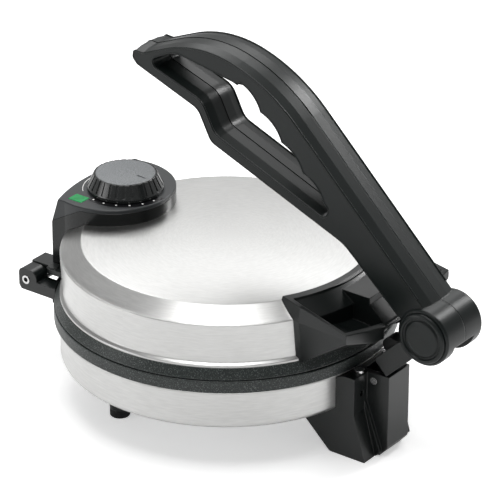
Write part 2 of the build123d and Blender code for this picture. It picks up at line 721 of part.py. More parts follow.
def crowned(face, grow):
    """Half of the lever's width: the section grows from the flat side towards the middle seam."""
    edge = extrude(face, LEVER_HALF_X - LEVER_EDGE_X, taper=-grow * LEVER_EDGE_DRAFT)
    middle = extrude(edge.faces().sort_by(Axis.X)[-1], LEVER_EDGE_X, taper=-grow * LEVER_DRAFT)
    return mirror(edge + middle, Plane.YZ.offset(LEVER_HALF_X / 2))


def lever_half():
    body = crowned(Plane.YZ * outline(*at_hub(LEVER_BACK + LEVER_BELLY)), 1)
    body -= crowned(Plane.YZ * outline(*at_hub(HOLE_BELLY + HOLE_BACK)), -1)
    for lobe in finger_lobes():
        body -= lobe
    drum = cross_rod(HUB_R, HUB_Y, HUB_Z, 0, HUB_HALF_X)
    drum = chamfer(drum.edges().sort_by(Axis.X)[-1], 1.2)
    body += drum
    body -= cross_rod(HUB_CAVITY_R, HUB_Y, HUB_Z, 0, KNUCKLE_HALF_X + GAP)
    body -= hub_slot()
    body -= cross_rod(BOLT_R, HUB_Y, HUB_Z, 0, HUB_HALF_X)
    body -= cross_rod(BOLT_HEAD_R, HUB_Y, HUB_Z, HUB_HALF_X - CAP_SEAT_T - BOLT_HEAD_T, HUB_HALF_X)
    return body - cross_rod(CAP_R, HUB_Y, HUB_Z, HUB_HALF_X - CAP_SEAT_T, HUB_HALF_X)


def hub_slot():
    """Opening in the drum that lets the link swing; its two ends are the stops."""
    reach = HUB_R * 1.25
    points = [(HUB_Y, HUB_Z)]
    for degrees in (SLOT_FROM, (2 * SLOT_FROM + SLOT_TO) / 3, (SLOT_FROM + 2 * SLOT_TO) / 3, SLOT_TO):
        angle = math.radians(degrees)
        points.append((HUB_Y + reach * math.cos(angle) * 1.2, HUB_Z + reach * math.sin(angle) * 1.2))
    return plate_between(0, KNUCKLE_HALF_X + GAP, *points)


def lever_right_half():
    half = lever_half()
    seat = LEVER_HALF_X - LEVER_SCREW_SINK
    for y, z in LEVER_SCREWS:
        half -= cross_rod(SCREW_R, HUB_Y + y, HUB_Z + z, 0, LEVER_HALF_X)
        half -= cross_rod(SCREW_HEAD_R, HUB_Y + y, HUB_Z + z, seat, LEVER_HALF_X)
    return half


def lever_left_half():
    half = mirror(lever_half(), Plane.YZ)
    for y, z in LEVER_SCREWS:
        half -= cross_rod(SCREW_R, HUB_Y + y, HUB_Z + z, -LEVER_SCREW_BITE - 1, 0)
    return half


def lever_screws():
    screws = []
    seat = LEVER_HALF_X - LEVER_SCREW_SINK
    for y, z in LEVER_SCREWS:
        shank = cross_rod(SCREW_R, HUB_Y + y, HUB_Z + z, -LEVER_SCREW_BITE, seat)
        screws.append(shank + cross_rod(SCREW_HEAD_R, HUB_Y + y, HUB_Z + z, seat, seat + SCREW_HEAD_H))
    return group(screws)


def hub_cap(side):
    """Domed cap with a ring groove, pressed in the end of the drum."""
    seat = HUB_HALF_X - CAP_SEAT_T
    face = outline(
        (seat, 0), (seat, CAP_R), (seat + CAP_T - 0.8, CAP_R, 1.0), (seat + CAP_T, CAP_R - 1.6, 1.0),
        (seat + CAP_T, CAP_R - 2.6), (seat + CAP_T - 1.4, CAP_R - 3.2), (seat + CAP_T - 1.4, CAP_R - 4.4),
        (seat + CAP_T - 0.4, CAP_R - 5.2, 1.2), (seat + CAP_T, CAP_R - 8.0), (seat + CAP_T + 0.4, 0),
    )
    cap = Pos(0, HUB_Y, HUB_Z) * revolve(face, Axis.X)
    return cap if side > 0 else mirror(cap, Plane.YZ)


def lever_pivot_bolt():
    seat = HUB_HALF_X - CAP_SEAT_T - BOLT_HEAD_T
    shank = cross_rod(BOLT_R, HUB_Y, HUB_Z, -seat, seat)
    head = Pos(-seat - BOLT_HEAD_T / 2, HUB_Y, HUB_Z) * Rot(0, 90, 0) * Cylinder(BOLT_HEAD_R, BOLT_HEAD_T)
    stem = cross_rod(BOLT_R * 0.6, HUB_Y, HUB_Z, seat, seat + BOLT_HEAD_T)
    return shank + head + stem


def lever_pivot_nut():
    seat = HUB_HALF_X - CAP_SEAT_T - BOLT_HEAD_T
    hexagon = Plane.YZ.offset(seat) * Pos(HUB_Y, HUB_Z) * RegularPolygon(BOLT_HEAD_R, 6)
    return extrude(hexagon, BOLT_HEAD_T) - cross_rod(BOLT_R * 0.6, HUB_Y, HUB_Z, seat, seat + BOLT_HEAD_T)


# Rear hinge on the base


def hinge_bracket():
    """Cradle that wraps the shell below its lip and carries an ear on each side."""
    under_lip = LOWER_RIM_Z - SHELL_T
    pad_span = 90 - PAD_HALF_ANGLE, 90 + PAD_HALF_ANGLE
    span = 90 - CRADLE_HALF_ANGLE, 90 + CRADLE_HALF_ANGLE
    pad = sector(BASE_R, BRACKET_PAD_R, BASE_BOTTOM_Z + 8, under_lip, *pad_span)
    ledge = sector(BASE_R, RIM_R + BRACKET_T, under_lip - BRACKET_T, under_lip, *span)
    collar = sector(RIM_R + GAP, RIM_R + BRACKET_T, under_lip, HINGE_Z - 2.0, *span)
    ear = plate_between(
        EAR_IN_X, EAR_OUT_X,
        (ARM_END_Y, EAR_BOTTOM_Z), (EAR_REAR_Y - 2.0, EAR_BOTTOM_Z), (EAR_REAR_Y, EAR_BOTTOM_Z + 3.0),
        (EAR_REAR_Y, EAR_TOP_Z, EAR_ROUND), (EAR_FRONT_Y, EAR_TOP_Z, EAR_ROUND + 2.0),
        (EAR_FRONT_Y, HINGE_Z, 1.0), (ARM_END_Y, HINGE_Z),
    )
    clear_of_rims = post(RIM_R + GAP, LOWER_RIM_Z - SHELL_T, HINGE_Z + EAR_HALF_H)
    bracket = pad + ledge + collar + (mirrored(ear) - clear_of_rims)
    bracket -= cross_rod(HINGE_PIN_R, HINGE_Y, HINGE_Z, -EAR_OUT_X, EAR_OUT_X)
    for degrees in BRACKET_SCREW_ANGLES:
        bracket -= radial_rod(SCREW_R, degrees, BRACKET_SCREW_Z, BASE_R - 5, BASE_R + 8)
    return bracket


def bracket_screws():
    screws = []
    for degrees in BRACKET_SCREW_ANGLES:
        shank = radial_rod(SCREW_R, degrees, BRACKET_SCREW_Z, BASE_R - 5, BRACKET_PAD_R)
        head_end = BRACKET_PAD_R + SCREW_HEAD_H
        screws.append(shank + radial_rod(SCREW_HEAD_R, degrees, BRACKET_SCREW_Z, BRACKET_PAD_R, head_end))
    return group(screws)


def hinge_pin():
    """Steel tube through both ears and both lid knuckles."""
    reach = EAR_OUT_X + 0.5
    pin = cross_rod(HINGE_PIN_R, HINGE_Y, HINGE_Z, -reach, reach)
    return pin - cross_rod(HINGE_PIN_BORE_R, HINGE_Y, HINGE_Z, -reach, reach)


# Lid


CROWN_BALL_R = (TOP_R**2 + CROWN**2) / (2 * CROWN)
CROWN_BALL_Z = TOP_Z + CROWN - CROWN_BALL_R


def crown_z(radius, inset=0.0):
    """Height of the lid's shallow crown at a radius."""
    return CROWN_BALL_Z + math.sqrt((CROWN_BALL_R - inset) ** 2 - radius**2)


def skin_line(inset=0.0):
    """Edges of the lid's skin from its foot up to the middle of the crown."""
    foot = LID_Z
    shoulder_r = TOP_R - inset
    shoulder_z = crown_z(shoulder_r, inset)
    wall = Polyline(
        (BEAD_R - inset, foot), (BEAD_R - inset, foot + BEAD_H / 2), (WALL_R - inset, foot + BEAD_H),
        (WALL_TOP_R - inset, WALL_TOP_Z), (shoulder_r, shoulder_z),
    )
    lean = math.degrees(math.atan2(shoulder_z - CROWN_BALL_Z, shoulder_r))
    crown = CenterArc((0, CROWN_BALL_Z), CROWN_BALL_R - inset, lean, 90 - lean)
    return [*wall.edges(), crown]


def lid_form(inset=0.0):
    """Solid inside the lid's skin, made smaller by an inset."""
    skin = skin_line(inset)
    sides = Polyline(skin[-1] @ 1, (0, LID_Z), skin[0] @ 0)
    return revolve(Plane.XZ * make_face([*skin, *sides.edges()]), Axis.Z)


def lid_envelope():
    """Everything inside the lid's skin and the upper plate's rim."""
    rim = turned((0, UPPER_RIM_Z), (RIM_R, UPPER_RIM_Z), (BEAD_R, LID_Z), (0, LID_Z))
    return lid_form() + rim


POD_SCREW_INSET = 9.0
POD_SCREW_Y = POD_Y - 13.0
POD_SCREWS = [(POD_SCREW_INSET - POD_R, POD_SCREW_Y), (POD_R - POD_SCREW_INSET, POD_SCREW_Y)]
HANDLE_SCREW_X = 30.0
HANDLE_SCREW_Z = LID_Z + 14.8
HANDLE_SCREW_L = 11.0
HINGE_SCREW_X = 24.0
HINGE_SCREW_Y = HINGE_Y - 9.4


def lid_shell():
    outer = skin_line()
    inner = skin_line(SHELL_T)[3:]
    crown_gap = Line(outer[-1] @ 1, inner[-1] @ 1)
    foot = Polyline(
        inner[0] @ 0, (WALL_R - SHELL_T, LID_Z + BEAD_H), (BEAD_R - BEAD_W, LID_Z + BEAD_H),
        (BEAD_R - BEAD_W, LID_Z), outer[0] @ 0,
    )
    shell = revolve(Plane.XZ * make_face([*outer, crown_gap, *inner, *foot.edges()]), Axis.Z)
    shell -= post(THERMOSTAT_R + GAP, TOP_Z - 5, TOP_Z + 5, 0, KNOB_Y)
    for x, y in POD_SCREWS:
        shell -= post(SCREW_R, TOP_Z - 5, TOP_Z + 5, x, y)
    for x in (-HANDLE_SCREW_X, HANDLE_SCREW_X):
        shell -= fore_rod(SCREW_R, x, HANDLE_SCREW_Z, -WALL_R - 15, -WALL_R + 15)
    return shell


def lid_hinge_block():
    """Plate behind the lid with a knuckle on each side for the hinge pin."""
    low = LID_PLATE_Z - LID_PLATE_T
    middle = block(-KNUCKLE_IN_X, KNUCKLE_IN_X, LID_PLATE_ROOT_Y, POD_REAR_R, low, LID_PLATE_Z)
    wide = block(-LID_PLATE_HALF_X, LID_PLATE_HALF_X, LID_PLATE_ROOT_Y, EAR_FRONT_Y - 1.3, low, LID_PLATE_Z)
    wide = fillet(wide.edges().filter_by(Axis.Z).group_by(Axis.Y)[-1], 3.0)
    arm = plate_between(
        KNUCKLE_IN_X, EAR_IN_X - GAP,
        (LID_PLATE_ROOT_Y, low), (HINGE_Y - 11.0, low), (HINGE_Y - KNUCKLE_R, HINGE_Z), (HINGE_Y, HINGE_Z),
        (LID_PLATE_REAR_Y, HINGE_Z), (LID_PLATE_REAR_Y, LID_PLATE_Z), (LID_PLATE_ROOT_Y, LID_PLATE_Z),
    )
    arm += cross_rod(KNUCKLE_R, HINGE_Y, HINGE_Z, KNUCKLE_IN_X, EAR_IN_X - GAP)
    boss = post(LID_BOSS_R, LID_PLATE_Z, LID_PLATE_Z + 1.0, LID_BOSS_X, LID_BOSS_Y)
    hinge_block = middle + wide + mirrored(arm + boss)
    hinge_block -= lid_envelope()
    for x in (-HINGE_SCREW_X, HINGE_SCREW_X):
        hinge_block -= post(SCREW_R, low, LID_PLATE_Z, x, HINGE_SCREW_Y)
    return hinge_block - cross_rod(HINGE_PIN_R + RUN, HINGE_Y, HINGE_Z, -EAR_OUT_X, EAR_OUT_X)


def hinge_screws():
    """Screws that go up through the hinge block into the foot of the control housing."""
    screws = []
    seat = LID_PLATE_Z - LID_PLATE_T
    for x in (-HINGE_SCREW_X, HINGE_SCREW_X):
        shank = post(SCREW_R, seat, LID_PLATE_Z + 8, x, HINGE_SCREW_Y)
        screws.append(shank + post(SCREW_HEAD_R, seat - SCREW_HEAD_H, seat, x, HINGE_SCREW_Y))
    return group(screws)


# Control housing


def pod_block(inset=0.0):
    """Round-nosed block that leans over the back of the lid, made smaller by an inset."""
    half = POD_REAR_HALF_X - inset
    flank_y = POD_Y + 9.0
    rear = outline(
        (-POD_R + inset, POD_Y), (POD_R - inset, POD_Y), (half, flank_y),
        (half, POD_REAR_R + 5), (-half, POD_REAR_R + 5), (-half, flank_y),
    )
    plan = Pos(0, POD_Y) * Circle(POD_R - inset) + rear
    block_in_plan = extrude(Pos(0, 0, LID_PLATE_Z) * plan, POD_TOP_Z - LID_PLATE_Z)
    back = turned(
        (0, LID_PLATE_Z), (POD_REAR_R - inset, LID_PLATE_Z), (POD_REAR_R - inset, POD_REAR_Z, 6.0),
        (POD_REAR_TOP_R - inset, POD_TOP_Z), (0, POD_TOP_Z),
    )
    return block_in_plan & back


def above_seam():
    front, rear = POD_Y - POD_R * 1.4, POD_REAR_R + 15
    return plate_between(
        -POD_R - 5, POD_R + 5,
        (front, POD_SEAM_Z), (SEAM_BREAK_Y, POD_SEAM_Z), (SEAM_REAR_Y, SEAM_REAR_Z), (rear, SEAM_REAR_Z),
        (rear, POD_TOP_Z + 5), (front, POD_TOP_Z + 5),
    )


def pod_cavity():
    above_plate = block(-POD_R, POD_R, POD_Y - POD_R, POD_REAR_R, LID_PLATE_Z + 12, POD_SEAM_Z)
    room = pod_block(POD_WALL) & above_plate
    return room - post(WALL_TOP_R + POD_WALL, LID_PLATE_Z, WALL_TOP_Z + 4)


def control_housing():
    housing = pod_block() - above_seam() - pod_cavity()
    for x, y in POD_SCREWS:
        housing += post(SCREW_R + 2.4, TOP_Z - 2, POD_SEAM_Z, x, y)
    housing -= lid_form()
    for x, y in POD_SCREWS:
        housing -= post(SCREW_R, TOP_Z - 2, POD_SEAM_Z - 2, x, y)
    for x in (-HINGE_SCREW_X, HINGE_SCREW_X):
        housing -= post(SCREW_R, LID_PLATE_Z, LID_PLATE_Z + 8, x, HINGE_SCREW_Y)
    return housing


def dial_sector(height):
    """Crescent about the knob, from its outer radius in to below the knob's skirt."""
    reach = DIAL_R * 2
    ring = Circle(DIAL_R) - Circle(KNOB_BASE_R - 3.0)
    step = (DIAL_TO - DIAL_FROM) / 3
    corners = [on_ring(reach, DIAL_FROM + corner * step) for corner in range(4)]
    wedge = make_face(Polyline((0, 0), *corners, close=True))
    return extrude(Pos(0, KNOB_Y, POD_TOP_Z - height) * (ring & wedge), height)


def lens_block(grow, low, high):
    return [block(
        side * LENS_X - LENS_W / 2 - grow, side * LENS_X + LENS_W / 2 + grow,
        LENS_Y - LENS_L / 2 - grow, LENS_Y + LENS_L / 2 + grow, low, high,
    ) for side in (-1, 1)]


def control_cover():
    cover = (pod_block() & above_seam()) - pod_cavity()
    cover = chamfer(cover.edges().group_by(Axis.Z)[-1], 0.6)
    cover -= dial_sector(DIAL_T)
    cover -= post(THERMOSTAT_COLLAR_R, POD_SEAM_Z, POD_TOP_Z, 0, KNOB_Y)
    for hole in lens_block(0.0, POD_SEAM_Z, POD_TOP_Z):
        cover -= hole
    return cover


def dial_plate():
    return dial_sector(DIAL_T)


def indicator_lens(side):
    index = 0 if side < 0 else 1
    window = lens_block(0.0, POD_SEAM_Z, POD_TOP_Z + 0.4)[index]
    window = chamfer(window.edges().group_by(Axis.Z)[-1], 0.3)
    return window + lens_block(1.0, POD_SEAM_Z - 1.0, POD_SEAM_Z)[index]


def indicator_lamps():
    top = POD_SEAM_Z - 1.0
    return group([post(LAMP_R, top - 5.0, top, side * LENS_X, LENS_Y) for side in (-1, 1)])


def thermostat_body():
    """Rod thermostat that hangs from the cover, with a bore for its shaft."""
    can = post(THERMOSTAT_R, POD_SEAM_Z - THERMOSTAT_H, POD_SEAM_Z, 0, KNOB_Y)
    top = POD_TOP_Z + THERMOSTAT_NUT_H
    collar = post(THERMOSTAT_COLLAR_R, POD_SEAM_Z, top, 0, KNOB_Y)
    return can + collar - post(SHAFT_R + RUN, POD_SEAM_Z - THERMOSTAT_H / 2, top, 0, KNOB_Y)


def thermostat_nut():
    hexagon = Pos(0, KNOB_Y, POD_TOP_Z) * RegularPolygon(THERMOSTAT_NUT_R, 6)
    hole = post(THERMOSTAT_COLLAR_R, POD_TOP_Z, POD_TOP_Z + THERMOSTAT_NUT_H, 0, KNOB_Y)
    return extrude(hexagon, THERMOSTAT_NUT_H) - hole


def pod_screws():
    screws = []
    for x, y in POD_SCREWS:
        seat = crown_z(math.hypot(x, y) + SCREW_HEAD_R) - SHELL_T
        shank = post(SCREW_R, seat, POD_SEAM_Z - 2.5, x, y)
        screws.append(shank + post(SCREW_HEAD_R, seat - SCREW_HEAD_H, seat, x, y))
    return group(screws)


# Knob


def knob_skirt():
    top = KNOB_Z + KNOB_H
    cap_seat = top - KNOB_CAP_T
    band = KNOB_Z + KNOB_BAND_H
    skirt = turned(
        (KNOB_BASE_R - KNOB_WALL, KNOB_Z), (KNOB_BASE_R, KNOB_Z), (KNOB_BASE_R, band),
        (KNOB_TOP_R, top - 0.4, 0.5), (KNOB_CAP_R, top - 0.4), (KNOB_CAP_R, cap_seat), (0, cap_seat),
        (0, cap_seat - KNOB_WALL), (KNOB_TOP_R - KNOB_WALL, cap_seat - KNOB_WALL),
    )
    beyond = KNOB_BASE_R + 5
    depth = turned(
        (KNOB_BASE_R - KNOB_GROOVE, band), (beyond, band), (beyond, top), (KNOB_TOP_R - KNOB_GROOVE, top),
    )
    grooves = None
    for rib in range(KNOB_RIBS):
        slot = block(KNOB_CAP_R - 2, beyond, -KNOB_GROOVE, KNOB_GROOVE, band + KNOB_GROOVE, top)
        slot = Rot(0, 0, rib * 360 / KNOB_RIBS) * slot
        grooves = slot if grooves is None else grooves + slot
    skirt -= grooves & depth
    boss = post(SHAFT_R + KNOB_WALL, POD_TOP_Z + 3.0, cap_seat - 1.0)
    return Pos(0, KNOB_Y, 0) * (skirt + boss - post(SHAFT_R, KNOB_Z - 1, cap_seat - 1.0))


def knob_cap():
    top = KNOB_Z + KNOB_H
    disc = turned(
        (0, top - KNOB_CAP_T), (KNOB_CAP_R, top - KNOB_CAP_T), (KNOB_CAP_R, top - 0.2, 0.5), (0, top + 0.5),
    )
    pointer = block(-0.7, 0.7, -KNOB_CAP_R + 2.8, -KNOB_CAP_R + 10.4, top - 0.5, top + 2)
    return Pos(0, KNOB_Y, 0) * (disc - pointer)


def thermostat_shaft():
    return post(SHAFT_R, POD_SEAM_Z - THERMOSTAT_H / 2 + 0.5, KNOB_Z + KNOB_H - KNOB_CAP_T - 1.0, 0, KNOB_Y)


# Front handle


def handle_section(y, *half):
    """Symmetric face across the handle from the corners of its right half, top centre first."""
    corners = [*half, *[(-x, z) for x, z in reversed(half)]]
    return Plane.XZ.offset(-y) * outline(*corners)


def handle_blank():
    seat = LID_Z
    back = handle_section(
        HANDLE_ROOT_Y, (RAMP_HALF_X, HANDLE_TOP_Z), (HANDLE_BEND_X, HANDLE_TOP_Z),
        (HANDLE_TOP_HALF_X, HANDLE_TOP_Z), (HANDLE_TOP_HALF_X + 4, WALL_TOP_Z), (HANDLE_TOP_HALF_X + 2, seat),
        (HANDLE_KEEL_HALF_X - 1, seat - 6), (HANDLE_SPINE_X, seat - 8),
    )
    middle = handle_section(
        HANDLE_MID_Y, (RAMP_HALF_X, HANDLE_TOP_Z), (HANDLE_BEND_X, HANDLE_TOP_Z),
        (HANDLE_ROOT_HALF_X, HANDLE_TOP_Z), (HANDLE_ROOT_HALF_X + 1, WALL_TOP_Z), (HANDLE_FOOT_HALF_X, seat),
        (HANDLE_KEEL_HALF_X - 1, seat - 5), (HANDLE_SPINE_X, seat - 7),
    )
    front = handle_section(
        HANDLE_NOSE_Y, (RAMP_HALF_X, HANDLE_DIP_Z), (HANDLE_BEND_X, HANDLE_DIP_Z + 4),
        (HANDLE_HALF_X, HANDLE_TIP_Z), (HANDLE_HALF_X + 0.6, HANDLE_TIP_Z - HANDLE_TIP_T / 2),
        (HANDLE_HALF_X, HANDLE_TIP_Z - HANDLE_TIP_T), (HANDLE_KEEL_HALF_X, HANDLE_KEEL_Z + 3),
        (HANDLE_SPINE_X, HANDLE_KEEL_Z),
    )
    return loft([back, middle, front], ruled=True)


def handle_dish():
    """Finger dish between the band on the lid's shoulder and the nose."""
    wall = HANDLE_WALL
    open_z = HANDLE_TOP_Z + 12
    floor_z = HANDLE_FLOOR_Z
    back = handle_section(
        HANDLE_MID_Y + 10, (RAMP_HALF_X, open_z), (HANDLE_TOP_HALF_X, open_z),
        (HANDLE_TOP_HALF_X, floor_z + 4), (HANDLE_KEEL_HALF_X, floor_z), (HANDLE_SPINE_X, floor_z - 1),
    )
    middle = handle_section(
        HANDLE_MID_Y, (RAMP_HALF_X, open_z), (HANDLE_ROOT_HALF_X - wall, open_z),
        (HANDLE_ROOT_HALF_X - wall, floor_z + 4), (HANDLE_KEEL_HALF_X, floor_z),
        (HANDLE_SPINE_X, floor_z - 1),
    )
    front = handle_section(
        HANDLE_NOSE_Y + wall, (RAMP_HALF_X, open_z), (HANDLE_HALF_X - wall, open_z),
        (HANDLE_HALF_X - wall, HANDLE_TIP_Z - 3.4), (HANDLE_KEEL_HALF_X, HANDLE_KEEL_Z + 7),
        (HANDLE_SPINE_X, HANDLE_KEEL_Z + 4.6),
    )
    return loft([back, middle, front], ruled=True) - lid_form(-wall) - post(BAND_R, LID_Z, open_z + 1)


def front_handle():
    root = HANDLE_MID_Y + 2.0
    ramp = plate_between(
        -RAMP_HALF_X, RAMP_HALF_X,
        (root, RAMP_TOP_Z), (RAMP_STEP_Y, RAMP_TOP_Z), (RAMP_STEP_Y, RAMP_TOP_Z - RAMP_STEP_H),
        (HANDLE_NOSE_Y + 0.8, RAMP_TOE_Z, 2.0), (HANDLE_NOSE_Y, HANDLE_KEEL_Z + 4),
        (HANDLE_NOSE_Y + 20, HANDLE_KEEL_Z + 4), (root, HANDLE_KEEL_Z + 4),
    )
    handle = handle_blank() - handle_dish() + ramp
    handle -= link_clearance()
    handle -= lid_envelope()
    handle -= post(TOP_R, LID_Z, HANDLE_TOP_Z + 1)
    handle -= block(-HANDLE_HALF_X * 2, HANDLE_HALF_X * 2, HANDLE_NOSE_Y * 2, 0, 0, LID_Z)
    for x in (-HANDLE_SCREW_X, HANDLE_SCREW_X):
        handle -= fore_rod(SCREW_R, x, HANDLE_SCREW_Z, -WALL_R - 8, -WALL_R + 8)
    return handle


def link_clearance():
    """Bevel under the nose that the link swings into when the lever is pressed."""
    reach = RAMP_HALF_X + LINK_SWEEP
    front, top = HANDLE_NOSE_Y - LINK_SWEEP, RAMP_TOE_Z - LINK_BEVEL_LIP
    foot = front + (top - LID_Z) / math.tan(math.radians(LINK_BEVEL_ANGLE))
    return plate_between(-reach, reach, (front, top), (front, LID_Z), (foot, LID_Z))


def handle_screws():
    screws = []
    for x in (-HANDLE_SCREW_X, HANDLE_SCREW_X):
        seat = -math.sqrt((WALL_R - SHELL_T) ** 2 - (HANDLE_SCREW_X + SCREW_HEAD_R) ** 2)
        shank = fore_rod(SCREW_R, x, HANDLE_SCREW_Z, seat - HANDLE_SCREW_L, seat)
        head = fore_rod(SCREW_HEAD_R, x, HANDLE_SCREW_Z, seat, seat + SCREW_HEAD_H)
        screws.append(shank + head)
    return group(screws)


PARTS = {
    "base_shell": base_shell, "base_pan": base_pan, "foot_posts": foot_posts, "rubber_feet": rubber_feet,
    "foot_screws": foot_screws, "lower_plate": lower_plate, "lower_heater": lower_heater,
    "lower_shield": lower_shield, "base_studs": base_studs, "thermal_cutout": thermal_cutout,
    "terminal_block": terminal_block, "cord_gland": cord_gland, "front_leg": front_leg,
    "leg_screws": leg_screws,
    "leg_top_screws": leg_top_screws, "link_pin": link_pin, "link_spring": link_spring,
    "hinge_bracket": hinge_bracket, "bracket_screws": bracket_screws, "hinge_pin": hinge_pin,
    "lid_shell": lid_shell, "upper_plate": upper_plate, "upper_heater": upper_heater,
    "upper_shield": upper_shield, "lid_studs": lid_studs, "lid_hinge_block": lid_hinge_block,
    "hinge_screws": hinge_screws, "control_housing": control_housing, "control_cover": control_cover,
    "pod_screws": pod_screws, "dial_plate": dial_plate, "green_lens": lambda: indicator_lens(-1),
    "red_lens": lambda: indicator_lens(1), "indicator_lamps": indicator_lamps,
    "thermostat_body": thermostat_body, "thermostat_nut": thermostat_nut, "front_handle": front_handle,
    "handle_screws": handle_screws, "knob_skirt": knob_skirt, "knob_cap": knob_cap,
    "thermostat_shaft": thermostat_shaft, "lever_link": lever_link, "pivot_bush": pivot_bush,
    "lever_left_half": lever_left_half, "lever_right_half": lever_right_half, "lever_screws": lever_screws,
    "hub_cap_left": lambda: hub_cap(-1), "hub_cap_right": lambda: hub_cap(1),
    "lever_pivot_bolt": lever_pivot_bolt, "lever_pivot_nut": lever_pivot_nut,
}

os.makedirs("parts", exist_ok=True)
for name, make in PARTS.items():
    export_step(make().moved(Pos(0, FOOTPRINT_SHIFT, 0)), f"parts/{name}.step")
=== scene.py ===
import json
import math

import bmesh
import bpy
from mathutils import Matrix, Vector


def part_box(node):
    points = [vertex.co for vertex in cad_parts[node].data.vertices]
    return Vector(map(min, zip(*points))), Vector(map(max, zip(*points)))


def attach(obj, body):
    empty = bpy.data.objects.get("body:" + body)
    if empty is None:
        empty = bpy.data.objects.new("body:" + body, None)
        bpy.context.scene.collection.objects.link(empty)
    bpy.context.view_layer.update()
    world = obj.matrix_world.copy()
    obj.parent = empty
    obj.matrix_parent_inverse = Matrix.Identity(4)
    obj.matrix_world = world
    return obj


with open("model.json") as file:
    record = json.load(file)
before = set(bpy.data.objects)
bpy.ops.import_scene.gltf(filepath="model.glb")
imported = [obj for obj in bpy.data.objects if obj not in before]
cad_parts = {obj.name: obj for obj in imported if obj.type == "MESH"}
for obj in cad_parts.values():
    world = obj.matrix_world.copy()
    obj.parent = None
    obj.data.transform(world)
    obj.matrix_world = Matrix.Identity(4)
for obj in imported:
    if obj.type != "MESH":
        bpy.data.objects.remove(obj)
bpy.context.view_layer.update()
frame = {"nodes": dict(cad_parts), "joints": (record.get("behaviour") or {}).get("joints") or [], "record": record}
cad = frame["nodes"]
print("frame: ", len(cad), "nodes")

mm = 0.001
joints = {joint["name"]: Vector(joint["pos_m"]) for joint in frame["joints"]}


def middleOf(node):
    low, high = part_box(node)
    return (low + high) / 2


axisY = middleOf("lid_shell").y  # the plates' upright axis
hub = joints["lever_swing"]
knobPin = joints["knob_turn"]
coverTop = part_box("dial_plate")[1].z


# Wiring for materials

edgeSamples = 6  # rays that a softened edge takes


def plug(tree, slot, value):
    if isinstance(value, Wire):
        tree.links.new(value.socket, slot)
    elif isinstance(value, tuple) and len(value) == 3 and slot.type == "RGBA":
        slot.default_value = (*value, 1)
    else:
        slot.default_value = value


def fillRamp(ramp, stops):
    while len(ramp.elements) < len(stops):
        ramp.elements.new(0.5)  # its real place is set below
    for element, (position, colour) in zip(ramp.elements, stops):
        element.position = position
        element.color = (*colour, 1) if isinstance(colour, tuple) else (colour, colour, colour, 1)


class Wire:  # a socket that can stand in a sum
    def __init__(self, tree, socket):
        self.tree = tree
        self.socket = socket

    def beside(self, name):  # another output of the same node
        return Wire(self.tree, self.socket.node.outputs[name])

    def maths(self, operation, first, second):
        node = self.tree.nodes.new("ShaderNodeMath")
        node.operation = operation
        plug(self.tree, node.inputs[0], first)
        plug(self.tree, node.inputs[1], second)
        return Wire(self.tree, node.outputs[0])

    def __add__(self, other):
        return self.maths("ADD", self, other)

    def __radd__(self, other):
        return self.maths("ADD", other, self)

    def __sub__(self, other):
        return self.maths("SUBTRACT", self, other)

    def __rsub__(self, other):
        return self.maths("SUBTRACT", other, self)

    def __mul__(self, other):
        return self.maths("MULTIPLY", self, other)

    def __rmul__(self, other):
        return self.maths("MULTIPLY", other, self)


class Nodes:  # an empty node tree, filled a node at a time
    def __init__(self, tree):
        self.tree = tree
        self.tree.nodes.clear()

    def add(self, kind, settings=None, values=None, out=0):
        node = self.tree.nodes.new("ShaderNode" + kind)
        for name, value in (settings or {}).items():
            if name == "stops":
                fillRamp(node.color_ramp, value)
            else:
                setattr(node, name, value)
        for name, value in (values or {}).items():
            plug(self.tree, node.inputs[name], value)
        return Wire(self.tree, node.outputs[out]) if node.outputs else None

    def place(self):
        return self.add("TexCoord", out="Object")

    def noise(self, scale, detail=2.0, where=None):
        return self.add("TexNoise", None, {"Vector": where or self.place(), "Scale": scale, "Detail": detail})

    def ramp(self, factor, stops):
        return self.add("ValToRGB", {"stops": stops}, {"Fac": factor})

    def mixed(self, factor, first, second):
        return self.add("Mix", {"data_type": "RGBA"}, {0: factor, 6: first, 7: second}, out=2)

    def softEdges(self, radius):
        return self.add("Bevel", {"samples": edgeSamples}, {"Radius": radius})

    def bump(self, height, strength, distance, softened=0.0):
        values = {"Height": height, "Strength": strength, "Distance": distance}
        if softened:
            values["Normal"] = self.softEdges(softened)
        return self.add("Bump", None, values)


class Finish(Nodes):  # a material with one Principled shader
    def __init__(self, name, sockets):
        self.material = bpy.data.materials.new(name)
        self.material.use_nodes = True
        super().__init__(self.material.node_tree)
        surface = self.add("BsdfPrincipled")
        self.add("OutputMaterial", None, {"Surface": surface})
        self.shader = surface.socket.node
        self.set(sockets)

    def set(self, sockets):
        for name, value in sockets.items():
            plug(self.tree, self.shader.inputs[name], value)


def shaded(colour, share):
    return tuple(part * share for part in colour)


# Finishes

steelLook = {
    "colour": (0.66, 0.66, 0.65),
    "shade": 0.9,
    "shadeStops": (0.3, 0.7),
    "roughness": 0.28,
    "brushed": 0.07,  # roughness that the brushing adds
    "clouded": 0.05,
    "grain": 950.0,
    "grainDetail": 3.0,
    "run": 0.012,  # the smaller, the longer a brush mark runs round
    "cloud": 14.0,
    "bump": 0.03,
    "depth": 0.05 * mm,
    "edge": 1.3 * mm,
}


